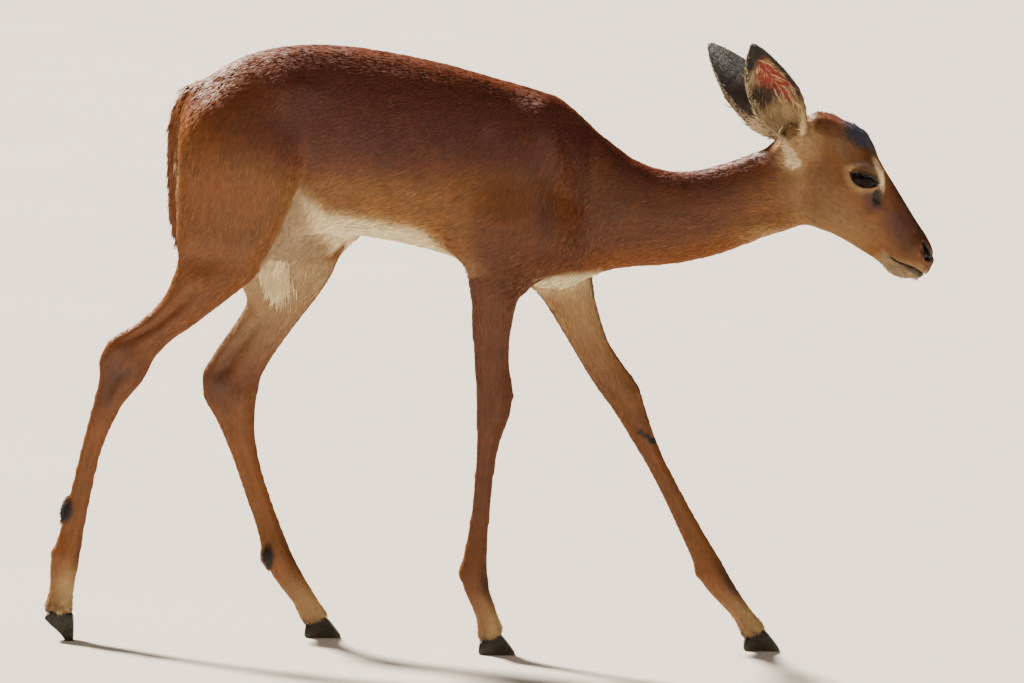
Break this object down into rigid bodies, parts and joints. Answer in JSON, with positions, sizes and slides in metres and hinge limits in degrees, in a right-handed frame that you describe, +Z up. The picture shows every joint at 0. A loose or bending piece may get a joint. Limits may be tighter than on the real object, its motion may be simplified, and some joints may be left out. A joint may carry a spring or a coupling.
{
  "type": "impala antelope",
  "caption": "Young hornless impala, walking with its head low; a still life-size model with its feet on the ground.",
  "frame": {"origin": "on the ground under the middle of the whole animal, ears and feet included", "axes": "+X the way it walks, +Y to its left, +Z up"},
  "size_m": [1.0352, 0.1702, 0.7326],
  "materials": {
    "coat": "short red-brown hair, white below",
    "horn": "dark hoof horn, satin",
    "eye": "wet, near black"
  },
  "bodies": {
    "root": {"trunk": "coat", "neck": "coat", "head": "coat", "eye_right": "eye", "eye_left": "eye", "ear_right": "coat", "ear_left": "coat", "tail": "coat", "leg_hind_right": "coat", "hoof_hind_right_inner": "horn", "hoof_hind_right_outer": "horn", "leg_hind_left": "coat", "hoof_hind_left_inner": "horn", "hoof_hind_left_outer": "horn", "leg_fore_right": "coat", "hoof_fore_right_inner": "horn", "hoof_fore_right_outer": "horn", "leg_fore_left": "coat", "hoof_fore_left_inner": "horn", "hoof_fore_left_outer": "horn"}
  },
  "joints": []
}
